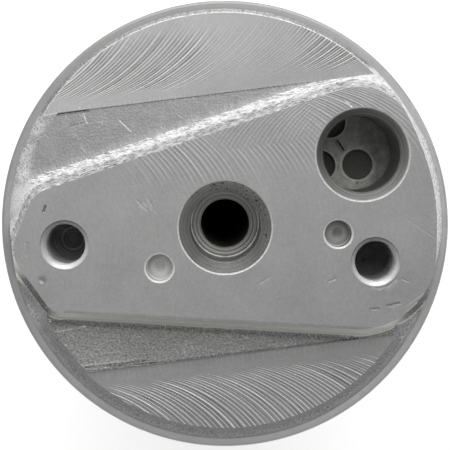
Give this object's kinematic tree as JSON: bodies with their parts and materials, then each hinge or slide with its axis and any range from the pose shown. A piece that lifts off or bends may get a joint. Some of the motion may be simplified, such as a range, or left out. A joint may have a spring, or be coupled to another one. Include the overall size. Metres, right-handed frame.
{
  "type": "filter drier",
  "caption": "Welded aluminium filter drier with a raised, drafted port pad, O-ring ports, tapped pipe-block holes, locating holes and a filter bed inside.",
  "frame": {"origin": "on the can's axis at the plane that its base stands on", "axes": "+Z along the can's axis, up to the face of the head's pad; +X along the pad's middle line, from its nose to its wide end"},
  "size_m": [0.0776, 0.0776, 0.18],
  "materials": {
    "can_aluminium": "drawn, satin",
    "head_aluminium": "forged and milled, satin",
    "weld_aluminium": "as welded, rippled",
    "tube_aluminium": "drawn, smooth",
    "strainer_plastic": "moulded, matt",
    "strainer_mesh": "woven, fine",
    "plate_steel": "pressed, dull",
    "felt": "needled, matt",
    "scrim": "woven, matt",
    "desiccant": "beads, matt",
    "spring_steel": "drawn wire, satin"
  },
  "bodies": {
    "root": {"can": "can_aluminium", "head": "head_aluminium", "head_weld": "weld_aluminium", "pickup_tube": "tube_aluminium", "strainer_cage": "strainer_plastic", "strainer_mesh": "strainer_mesh", "upper_plate": "plate_steel", "upper_felt": "felt", "upper_scrim": "scrim", "desiccant_bed": "desiccant", "lower_scrim": "scrim", "lower_felt": "felt", "lower_plate": "plate_steel", "spring": "spring_steel"}
  },
  "joints": []
}
